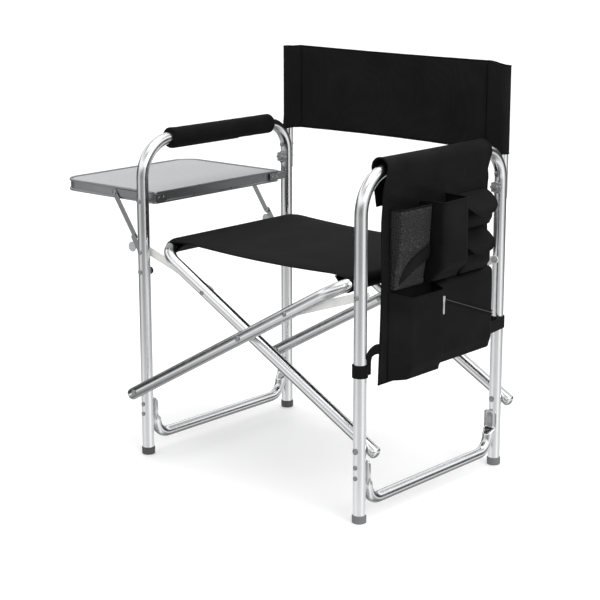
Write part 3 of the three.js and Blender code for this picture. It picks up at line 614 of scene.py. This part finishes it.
Z0, Z1 = TZ0 + 4.6, TZ1 - 4.6
bar = LF + TUBE_R + 5.3
front = [plate([(BRACE[0] - 9, -188.3), (TX1 + 2.3, -188.3), (TX1 + 2.3, -154), (TX1 + 0.3, -154),
                (TX1 + 0.3, -186.3), (BRACE[0] - 9, -186.3)], Z0, Z1),
         turned([(bar - 2, 4.2), (bar - 1.6, 5), (bar - 0.4, 5)], (BRACE[0], 0, BRACE[1])),
         turned([(bar - 0.4, PIN_R), (bar + 2.1, PIN_R)], (BRACE[0], 0, BRACE[1])),
         turned([(bar + 2.1, 5), (-187.3, 5)], (BRACE[0], 0, BRACE[1]))]
for x in (-336, -318):
    front.append(turned(domed(-188.3, -190, 3.6, -1), (x, 0, 545)))
for y in (-176, -162):
    front.append(turned([(TX1 + 2.3, 3.4), (TX1 + 3.1, 3.2), (TX1 + 3.8, 1.2)], (0, y, 546), "X"))
piece("table_front_bracket_plate", *merge(*front), STEEL, "table", "table_front_bracket", bevel=0.4)
bar = LR - TUBE_R - 7.1
rear = [plate([(BRACE[0] - 9, 199.3), (TX1 + 0.3, 199.3), (TX1 + 0.3, 167), (TX1 + 2.3, 167),
               (TX1 + 2.3, 214), (L - 10, 214), (L - 10, 212), (TX1 + 0.3, 212), (TX1 + 0.3, 201.3),
               (BRACE[0] - 9, 201.3)], Z0, Z1),
        turned([(200.3, 5), (bar - 0.4, 5)], (BRACE[0], 0, BRACE[1])),
        turned([(bar - 0.4, PIN_R), (bar + 2.2, PIN_R)], (BRACE[0], 0, BRACE[1])),
        turned([(bar + 2.2, 5), (bar + 3.2, 4.9), (bar + 3.6, 3.6)], (BRACE[0], 0, BRACE[1]))]
for y in (175, 189):
    rear.append(turned([(TX1 + 2.3, 3.4), (TX1 + 3.1, 3.2), (TX1 + 3.8, 1.2)], (0, y, 546), "X"))
piece("table_rear_bracket_plate", *merge(*rear), STEEL, "table", "table_rear_bracket", bevel=0.4)

f = LF - 12.8
pin("table_front_pivot_turned", "table_front_pivot", "left_frame", L, TABLE_Z, [
    domed(f, f - 2.1, 5.2, -1), [(f, PIN_R), (-181.1, PIN_R)], domed(-181.1, -178.6, 4.6, 1)])
b = LR + 12.8
pin("table_rear_pivot_turned", "table_rear_pivot", "left_frame", L, TABLE_Z, [
    domed(211.6, 209.6, 5.4, -1), [(211.6, PIN_R), (214.4, PIN_R)],
    [(214.4, 6.4), (215, 7), (223, 7), (223.6, 6.4)], [(223.6, PIN_R), (b, PIN_R)],
    domed(b, b + 1.9, 5.4, 1)])

way = np.array([L - BRACE[0], STRUT_Z - BRACE[1]], float)
KNEE = np.array(BRACE) + way / np.linalg.norm(way) * 105
for end, face, s in (("front", LF + TUBE_R, 1), ("rear", LR - TUBE_R, -1)):
    node = f"{end}_brace_lower_bar"
    lo0, lo1 = face + s * 0.3, face + s * 2.3
    piece(node + "_pressed", *merge(
        prism(stadium((L, STRUT_Z), KNEE, 6.5), lo0, lo1),
        turned([(face + s * 2, 4.2), (face + s * 5, 4.2)], (KNEE[0], 0, KNEE[1]))),
        STEEL, f"{end}_brace_lower", node, bevel=0.5)
    tab = (KNEE[0] - 5, 0, KNEE[1] - 21)
    piece(f"{end}_brace_thumb_tab", *turned(
        [(lo0 - s * 0.1, 9.6), (lo0, 10.2), (lo0 + s * 0.6, 10.6), (lo1 - s * 0.2, 10.6),
         (lo1 + s * 0.5, 10), (lo1 + s * 0.6, 8)], tab, "Y", 36), PALE_GREY, f"{end}_brace_lower",
        smooth=35)
    node = f"{end}_brace_upper_bar"
    up0, up1 = face + s * 5.3, face + s * 7.1
    piece(node + "_pressed", *merge(
        prism(stadium(BRACE, KNEE, 6), up0, up1),
        turned(domed(up1, up1 + s * 1.3, 4.2, s), (KNEE[0], 0, KNEE[1]))),
        STEEL, f"{end}_brace_upper", node, bevel=0.5)


# ---------------------------------------------------------------- arm pads
PAD_R, PAD_START = 21.0, 79.5


def arm_pad(name, node, body, x, front, rear):
    start, end = front + PAD_START, rear - ARM_BEND
    path = [(x, start + d, ARM_Z) for d in (0, 0, 0.9, 2.6, 5.5)]
    radii = [13.0, 18.6, 20.4, 21.4, 21.8]
    for k in range(1, 16):
        path.append((x, start + 5.5 + (end - start - 10.5) * k / 16, ARM_Z))
        radii.append(PAD_R - 0.35 * math.sin(k * 1.7) ** 2)
    for k in range(7):
        t = math.pi / 40 * k / 6
        path.append((x, end + ARM_BEND * math.sin(t), ARM_Z - ARM_BEND * (1 - math.cos(t))))
        radii.append((21.0, 21.0, 20.9, 20.7, 20.3, 19.6, 18.0)[k])
    tail = np.array(path[-1])
    path += [tail + [0, 0.05, -0.02]]
    radii += [13.0]
    path = np.array(path)
    path[1] += [0, 0.02, 0]
    verts, faces = sweep(path, radii, 40, caps=False)
    inner = len(path) - 1
    for k in range(40):  # close the sleeve through its bore
        a, b = k, (k + 1) % 40
        faces.append([inner * 40 + a, inner * 40 + b, b, a])
    pad = piece(name, verts, faces, FOAM, body, node, smooth=55)
    seam = [(x + 4, front + 84 + 200 * k / 10, ARM_Z - PAD_R) for k in range(11)]
    piece(name + "_seam", *sweep(seam, 0.7, 8), FOAM, body, smooth=60)


arm_pad("left_arm_sleeve", "left_arm_pad", "left_frame", L, LF, LR)
arm_pad("right_arm_sleeve", "right_arm_pad", "right_frame", R, RF, RR)


# ---------------------------------------------------------------- backrest
def loop(centre, radius, seam, first, last, n=18):
    """Outline of a sewn loop from its seam round a post and back; angles in degrees."""
    c = np.array(centre, float)
    arc = [c + radius * np.array([math.cos(math.radians(a)), math.sin(math.radians(a))])
           for a in np.linspace(first, last, n)]
    return [np.array(seam[0], float), *arc, np.array(seam[1], float)]


BACK_LEFT = np.array([L, LR + POST_Y])
BACK_RIGHT = np.array([R, RR + POST_Y])
WRAP = 10.5
SET = 11.0  # the panel hangs this far behind the posts
left_seam = np.array([L + 27, LR + POST_Y + SET])
right_seam = np.array([R - 50, RR + POST_Y + SET])
outline = loop(BACK_LEFT, WRAP, (left_seam + [3, 2.6], left_seam), 66, 318)
outline += [left_seam + [6, 0.6]]
outline += [left_seam + (right_seam - left_seam) * k / 14 for k in range(1, 14)]
outline += [right_seam - [6, -0.6]]
outline += loop(BACK_RIGHT, WRAP, (right_seam, right_seam + [-3, 2.6]), 240, 474)
sample, back_length = along(outline)


def back_point(u, v):
    x, y = sample(u)
    across = (x - L) / (R - L)
    top = 832 - 6.5 * smoothstep((across - 0.92) / 0.08) - 1.5 * math.sin(math.pi * across) \
        - 2.5 * smoothstep((0.05 - across) / 0.05)
    low = 650 + 4.0 * math.sin(math.pi * min(max(across, 0), 1)) - 3 * smoothstep((0.03 - across) / 0.03)
    z = low + (top - low) * v
    middle = smoothstep(min(across, 1 - across) / 0.12)
    y += middle * (5.0 * math.sin(math.pi * v) * math.sin(math.pi * across)
                   + 0.9 * math.sin(across * 19 + v * 2.2) * math.sin(math.pi * v)
                   + 0.6 * math.sin(across * 41 - v * 5))
    if across < 0.03:
        x -= 2.2 * smoothstep((0.2 - v) / 0.2)
    return x, y, z


back = piece("backrest_cloth", *grid(back_point, 150, 26), CLOTH, "left_frame",
             "backrest_fabric", smooth=60, thick=1.4, close=False)


def hem(name, fn, v, body):
    """A bound edge along a sheet fn(u, v)."""
    path = [fn(k / 110, v) for k in range(111)]
    return piece(name, *sweep(path, 1.5, 10), BINDING, body, smooth=60)


back_soft = [back, hem("backrest_top_hem", back_point, 0.995, "left_frame"),
             hem("backrest_bottom_hem", back_point, 0.005, "left_frame")]
for name, seam in (("left", left_seam), ("right", right_seam)):
    path = [(seam[0] + (2 if name == "left" else -2), seam[1] - 1.2, 655 + 170 * k / 20)
            for k in range(21)]
    back_soft.append(piece(f"backrest_{name}_seam", *sweep(path, 0.8, 8), BINDING, "left_frame",
                           smooth=60))

# ---------------------------------------------------------------- seat
SEAT_WRAP = 14.0
rail_left, rail_right = np.array([-RAIL_X, RAIL_Z]), np.array([RAIL_X, RAIL_Z])
sl, sr = rail_left + [40, 8.5], rail_right + [-40, 8.5]
seat_outline = loop(rail_left, SEAT_WRAP, (sl, rail_left + [10, SEAT_WRAP + 0.4]), 290, 90)
seat_outline += [np.array([x, RAIL_Z + SEAT_WRAP + 0.4]) for x in np.linspace(-235, 235, 30)]
seat_outline += loop(rail_right, SEAT_WRAP, (rail_right + [-10, SEAT_WRAP + 0.4], sr), 90, -110)
seat_sample, seat_length = along(seat_outline)


def seat_point(u, v):
    x, z = seat_sample(u)
    t = (x + RAIL_X) / (2 * RAIL_X)
    t = min(max(t, 0.0), 1.0)
    # the open ends of the sleeves reach into the bends of the rails
    corner = smoothstep(1 - min(t, 1 - t) * 500 / 60)
    y0 = LF + (RF - LF) * t + 33 - 8 * corner
    y1 = LR + (RR - LR) * t - 33 + 8 * corner
    y = y0 + (y1 - y0) * v
    sag = 7.5 * math.sin(math.pi * t) ** 0.8 * (0.75 + 0.25 * math.sin(math.pi * v))
    edge = 2.5 * (smoothstep((0.06 - v) / 0.06) + smoothstep((v - 0.94) / 0.06)) * math.sin(math.pi * t)
    if z > RAIL_Z + SEAT_WRAP - 1:
        z -= sag + edge
        z += 0.7 * math.sin(t * 23 + v * 3) * math.sin(math.pi * v) * math.sin(math.pi * t)
    # the sleeve follows the rail down into its bends
    for end, base, s in ((0, LF + (RF - LF) * t, 1), (1, LR + (RR - LR) * t, -1)):
        into = RAIL_BEND - s * (y - base)
        if into > 0:
            drop = (RAIL_BEND - math.sqrt(max(RAIL_BEND ** 2 - into ** 2, 0))) * corner
            side = -1 if t < 0.5 else 1
            x -= side * drop * math.cos(SLOPE)
            z -= drop * math.sin(SLOPE)
    return x, y, z


seat = piece("seat_cloth", *grid(seat_point, 130, 40), CLOTH, "seat", "seat_fabric",
             smooth=60, thick=1.5, close=False)
seat_soft = [seat, hem("seat_front_hem", seat_point, 0.004, "seat"),
             hem("seat_rear_hem", seat_point, 0.996, "seat")]

# ---------------------------------------------------------------- organiser bag
BAG_R = 22.7
BAG_Y0, BAG_Y1 = -211, 141
bag_outline = [(R + BAG_R, 267 + (ARM_Z - 267) * k / 60) for k in range(61)]
bag_outline += [(R + BAG_R * math.cos(a), ARM_Z + BAG_R * math.sin(a))
                for a in np.linspace(0, math.pi, 22)[1:]]
bag_outline += [(R - BAG_R, ARM_Z - 72.5 * k / 12) for k in range(1, 13)]
bag_sample, bag_length = along(bag_outline)
BAG_EDGE = [(267, -210, 139), (330, -208, 140), (480, -204, 134), (560, -202, 131), (633, -200, 129),
            (664, -188, 141), (690, -180, 141)]


def bag_point(u, v):
    x, z = bag_sample(u)
    outer = x > R
    zs = [e[0] for e in BAG_EDGE]
    y0 = np.interp(z, zs, [e[1] for e in BAG_EDGE])
    y1 = np.interp(z, zs, [e[2] for e in BAG_EDGE])
    if not outer:
        y0, y1 = -182 + (690 - z) * 0.2, 141 - (690 - z) * 0.12
    y = y0 + (y1 - y0) * v
    if outer and z < 640:
        deep = smoothstep((640 - z) / 80)
        x -= 2.2 * deep * math.sin(math.pi * min(1, max(0, (640 - z) / 140)))
        x += 0.8 * math.sin(y / 37 + z / 61) * deep
        x += 1.3 * math.sin(y / 15 + z / 9) * math.exp(-((z - 622) / 16) ** 2)
        if z < 300 and v > 0.45:  # the lower edge rises towards the back
            z += 9 * smoothstep((v - 0.45) / 0.06) * (300 - z) / 33
    return x, y, z


bag = piece("bag_cloth", *grid(bag_point, 100, 44), BAG, "right_frame", "bag_panel",
            smooth=60, thick=1.5, close=False)
for k, v in (("front", 0.004), ("rear", 0.996)):
    path = [bag_point(i / 120, v) for i in range(121)]
    piece(f"bag_{k}_binding", *sweep(path, 2.1, 10), BINDING, "right_frame", smooth=60)
for k, u in (("lower", 0.003), ("inner", 0.997)):
    path = [bag_point(u, i / 60) for i in range(61)]
    piece(f"bag_{k}_binding", *sweep(path, 1.9, 10), BINDING, "right_frame", smooth=60)

X0 = R + BAG_R + 0.9


def pouch(name, node, depth, y0, y1, z0, z1, look=BAG, corner=9, taper=0.3, taper_z=30, flare=0.0,
          bulge=2.0, shoulder=0, rim=True, skew=0.0, lead=0.0, dip=0.0):
    """A soft open-topped pocket sewn to the bag: three walls, a tapering bottom, a bound mouth."""

    def plan(d):
        corners = [((X0, y0, 0), 0), ((X0 + d, y0 + 1 + lead, 0), min(corner, d * 0.45)),
                   ((X0 + d, y1 - 1, 0), min(corner, d * 0.45)), ((X0, y1, 0), 0)]
        return along(bent(corners, 15))[0]
    full = plan(depth)

    def point(u, v):
        h = v * 1.12 - 0.12  # below zero the wall turns in to close the bottom
        t = max(h, 0.0)
        z = z0 + (z1 - z0) * t
        p = full(u)
        out = (p[0] - X0) / depth
        low = smoothstep(1 - (z - z0) / taper_z) if z < z0 + taper_z else 0.0
        d = (p[0] - X0) * (1 - taper * low)
        belly = bulge * math.sin(math.pi * t) * out
        d += belly + flare * out * t ** 2
        y = p[1] + (1 - 2 * u) * taper * low * 4 - flare * 0.15 * (1 - 2 * u) * t ** 2
        y += 0.9 * math.sin(z / 23 + u * 9) * math.sin(math.pi * t) * out
        if shoulder and z > z1 - shoulder:
            d = min(d, max((z1 - z) / shoulder, 0.02) * (depth + 1))
        z += skew * (u - 0.5) * t - dip * out * t ** 8
        if h < 0:
            k = -h / 0.12
            d *= 1 - k * 0.94
            z -= 3.0 * math.sin(k * math.pi) * out
        return X0 + d, y, z
    obj = piece(name, *grid(point, 44, 46), look, "right_frame", node, smooth=60, thick=1.3,
                close=False)
    if rim:
        path = [point(k / 60, 0.995) for k in range(61)]
        piece(name + "_mouth_binding", *sweep(path, 1.9, 10), BINDING, "right_frame", smooth=60)


pouch("bag_bottle_pouch_cloth", "bag_bottle_pouch", 55, -88, -9, 449, 601, corner=7,
      taper=0.45, taper_z=34, bulge=1.0, skew=4)
pouch("bag_mesh_pocket_net", "bag_mesh_pocket", 26, -180, -89.5, 446, 596, look=NET,
      corner=5, taper=0.55, taper_z=90, flare=3.5, bulge=-1.5)
pouch("bag_tall_pocket_cloth", "bag_tall_pocket", 30, -186, -50, 271, 440, corner=6,
      taper=0.25, taper_z=26, bulge=1.2, lead=34, dip=13)
pouch("bag_zip_pocket_cloth", "bag_zip_pocket", 11, -49, 139, 276, 438, corner=7,
      taper=0.4, taper_z=20, bulge=1.2, shoulder=6, rim=False)
pouch("bag_upper_pocket_cloth", "bag_upper_pocket", 20, 26, 122, 530, 592, corner=6,
      taper=0.25, taper_z=14, bulge=1.0, shoulder=40, rim=False)
pouch("bag_lower_pocket_cloth", "bag_lower_pocket", 20, 22, 116, 444, 516, corner=6,
      taper=0.25, taper_z=14, bulge=1.0, shoulder=40, rim=False)


FLAP_REACH = 38.6


def tongue(name, node, body, y0, y1, z1, drop):
    """A round-ended flap standing out from its seam over the leaning mouth of its pocket."""
    x1 = X0 + FLAP_REACH
    mid, half = (y0 + y1) / 2, (y1 - y0) / 2
    line, length = along([(X0 + 0.6, z1 + 4), (X0 + 7, z1 - 0.5), (x1 + 1, z1 - drop + 4),
                          (x1 + 3.2, z1 - drop - 1), (x1 + 3.4, z1 - drop - 8)])

    def point(u, v):
        x, z = line(v)
        w = half * (0.9 + 0.1 * smoothstep(v / 0.3))
        if v > 0.4:
            w *= math.sqrt(max(1 - ((v - 0.4) / 0.6) ** 2.4, 0.0))
        s = 2 * u - 1
        return x - 1.6 * (s * w / half) ** 2 * v, mid + s * w - 11 * v ** 2, z
    obj = piece(name, *grid(point, 36, 40), BAG, body, node, smooth=60, thick=1.5, close=False)
    rim = [point(0, k / 60) for k in range(61)] + [point(1, k / 60) for k in range(59, -1, -1)]
    piece(name + "_binding", *sweep(rim, 1.5, 8), BINDING, body, smooth=60)


tongue("bag_upper_flap_cloth", "bag_upper_flap", "upper_flap", 24, 124, 592, 30)
tongue("bag_lower_flap_cloth", "bag_lower_flap", "lower_flap", 20, 118, 516, 28)

# the zip: two tapes, a row of teeth and its puller
ZIP_X = X0 + 12.6
zip_a, zip_b = np.array([-45, 408.0]), np.array([135, 344.5])
for name, off, r, look in (("upper_tape", 3.4, 2.2, BINDING), ("lower_tape", -3.4, 2.2, BINDING),
                           ("teeth", 0, 0.9, GREY)):
    path = []
    for k in range(41):
        y, z = zip_a + (zip_b - zip_a) * k / 40
        swell = 1.2 * math.sin(math.pi * min(max((z - 276) / 162, 0), 1))
        path.append((ZIP_X + swell - 1.3, y, z + off))
    piece(f"bag_zip_{name}", *sweep(path, r, 10), look, "right_frame", smooth=60)
pull = [(-3.2, 6), (3.2, 6), (4, 3), (3.4, -5), (2.2, -8), (2.6, -28), (1.6, -30), (-1.6, -30),
        (-2.6, -28), (-2.2, -8), (-3.4, -5), (-4, 3)]
piece("bag_zip_puller_cast", *prism([(-30 + a, 402 + b) for a, b in pull], ZIP_X + 1.4,
      ZIP_X + 3.0, "YZ"), PALE_GREY, "zip_puller", "bag_zip_puller", bevel=0.4)

# pen loop strip that runs down across the mesh pocket
strip = along([(X0 + 4.5, -177, 454), (X0 + 15, -162, 470), (X0 + 24.5, -145, 487),
               (X0 + 28.5, -98.5, 509)])[0]


def strip_point(u, v):
    p = strip(u)
    return p[0] + 1.6 * math.sin(math.pi * v), p[1] + 5 * (v - 0.5), p[2] + 26 * (v - 0.5)


piece("bag_pen_strip", *grid(strip_point, 24, 8), BAG, "right_frame", smooth=60, thick=1.4,
      close=False)


def strap(name, leg, bag_at, z_leg, z_bag, run=True):
    """A webbing loop round a leg, with a straight run to the bag's edge if there is one."""
    c = np.array([R, leg])
    sgn = 1 if bag_at > leg else -1
    pts = [(R + BAG_R + 1.5, bag_at + sgn * 6, z_bag), (R + BAG_R + 0.8, bag_at, z_bag)]
    if not run:
        pts = []
    for a in np.linspace(0, 300, 26) if run else np.linspace(0, 372, 32):
        w = math.radians(a) * -sgn
        pts.append((c[0] + 14.4 * math.cos(w), c[1] + 14.4 * math.sin(w), z_leg))
    line = along(pts)[0]

    def point(u, v):
        p = line(u)
        return p[0], p[1], p[2] + 24 * (v - 0.5)
    piece(name, *grid(point, 90, 4), BINDING, "right_frame", smooth=60, thick=1.6, close=False)


strap("bag_front_strap", RF, BAG_Y0, 297, 297, run=False)
arch = along(bent([((0, -200, 335), 0), ((0, -226, 341), 15), ((0, -226.5, 288), 0)], 10))[0]


def arch_point(u, v):
    """The front strap stands off the bag's edge and turns down to its loop."""
    p, q = arch(max(u - 0.01, 0)), arch(min(u + 0.01, 1))
    way = (q - p) / np.linalg.norm(q - p)
    y, z = arch(u)[1:] + np.array([-way[2], way[1]]) * 19 * (v - 0.5)
    return R + BAG_R - 0.2 - 13 * smoothstep(u / 0.7), y, z


piece("bag_front_strap_arch", *grid(arch_point, 40, 4), BINDING, "right_frame", smooth=60,
      thick=1.6, close=False)
strap("bag_rear_strap", RR, BAG_Y1 - 2, 306, 306)

for obj in back_soft:
    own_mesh(obj)
for obj in seat_soft:
    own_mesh(obj)

# every CAD node still showing gets a finished material
LEFT = {"bright_steel": STEEL, "aluminium_tube": ALU, "black_fabric": CLOTH, "black_foam": FOAM,
        "grey_plastic": GREY, "black_plastic": BLACK, "white_plastic": WHITE, "grey_laminate": TOP}
for part in frame["record"]["subparts"]:
    node = frame["nodes"][part["node"]]
    if not node.hide_render:
        node.data.materials.clear()
        node.data.materials.append(LEFT[part["material_slot"]])

# ---------------------------------------------------------------- studio
mesh = bpy.data.meshes.new("floor")
mesh.from_pydata([(-60, -60, 0), (60, -60, 0), (60, 60, 0), (-60, 60, 0)], [], [[0, 1, 2, 3]])
floor = bpy.data.objects.new("floor", mesh)
bpy.context.scene.collection.objects.link(floor)
floor_look, tree, b = shader("pale_floor", (0.93, 0.93, 0.93), 0.0, 0.55)
tree.links.new(ramp(tree, noise(tree, 0.4), [(0.3, (0.925,) * 3), (0.7, (0.94,) * 3)]),
               b.inputs["Base Color"])
b.inputs["Emission Color"].default_value = (1, 1, 1, 1)
b.inputs["Emission Strength"].default_value = 0.24
mesh.materials.append(floor_look)
floor.visible_glossy = False  # the tubes mirror the studio, not the floor

world = bpy.data.worlds.new("studio")
bpy.context.scene.world = world
world.use_nodes = True
tree = world.node_tree
background = tree.nodes["Background"]
coords = add(tree, "ShaderNodeTexCoord")
split = add(tree, "ShaderNodeSeparateXYZ")
tree.links.new(coords.outputs["Generated"], split.inputs["Vector"])
# soft light and dark bands round the horizon, under a bright ceiling with a darker ring
around = add(tree, "ShaderNodeTexGradient", gradient_type="RADIAL")
tree.links.new(coords.outputs["Generated"], around.inputs["Vector"])
walls = ramp(tree, around.outputs["Fac"], [
    (0.0, (0.03,)), (0.06, (0.03,)), (0.11, (0.25,)), (0.17, (0.6,)), (0.22, (0.45,)),
    (0.28, (0.18,)), (0.40, (0.2,)), (0.46, (0.55,)), (0.50, (0.95,)), (0.56, (0.6,)),
    (0.61, (0.12,)), (0.66, (0.03,)), (0.72, (0.04,)), (0.80, (0.3,)), (0.90, (0.25,)),
    (1.0, (0.03,))])
ceiling = ramp(tree, split.outputs["Z"], [(0.2, (0.0,)), (0.36, (1.0,)), (0.52, (1.0,)), (0.66, (0.3,)),
                                          (0.8, (0.35,)), (0.95, (1.0,))])
both = add(tree, "ShaderNodeMixRGB")
both.inputs[2].default_value = (1, 1, 1, 1)
tree.links.new(ceiling, both.inputs["Fac"])
tree.links.new(walls, both.inputs[1])
# and a pale floor below, which the lower legs pick up
down = add(tree, "ShaderNodeMath", operation="MULTIPLY")
down.inputs[1].default_value = -1.0
tree.links.new(split.outputs["Z"], down.inputs[0])
below = ramp(tree, down.outputs[0], [(0.19, (0.0,)), (0.32, (0.75,)), (0.42, (0.7,)), (0.55, (0.15,)),
                                      (1.0, (0.1,))])
whole = add(tree, "ShaderNodeMixRGB")
whole.inputs[2].default_value = (1, 1, 1, 1)
tree.links.new(below, whole.inputs["Fac"])
tree.links.new(both.outputs[0], whole.inputs[1])
tree.links.new(whole.outputs[0], background.inputs["Color"])
background.inputs["Strength"].default_value = 1.3


def area(name, at, target, size, power):
    light = bpy.data.lights.new(name, "AREA")
    light.shape = "RECTANGLE"
    light.size, light.size_y = size
    light.energy = power
    obj = bpy.data.objects.new(name, light)
    bpy.context.scene.collection.objects.link(obj)
    obj.location = at
    obj.rotation_euler = (Vector(target) - Vector(at)).to_track_quat("-Z", "Y").to_euler()


area("key", (3.6, -0.9, 2.6), (0, 0, 0.4), (2.4, 2.0), 46)
area("top", (0.2, 0.2, 4.2), (0, 0, 0.3), (3.6, 3.6), 40)

camera = bpy.data.cameras.new("camera")
camera.sensor_width = 36
camera.lens = 100.87
camera.shift_x, camera.shift_y = -0.0159, -0.0128
eye = bpy.data.objects.new("camera", camera)
bpy.context.scene.collection.objects.link(eye)
eye.location = row((2169.25, -2571.37, 1148.27))
look = Vector(row((-27.3, 0, 354.4))) - eye.location
eye.rotation_euler = look.to_track_quat("-Z", "Y").to_euler()
bpy.context.scene.camera = eye
bpy.context.scene.view_settings.view_transform = "Standard"

bpy.context.view_layer.update()
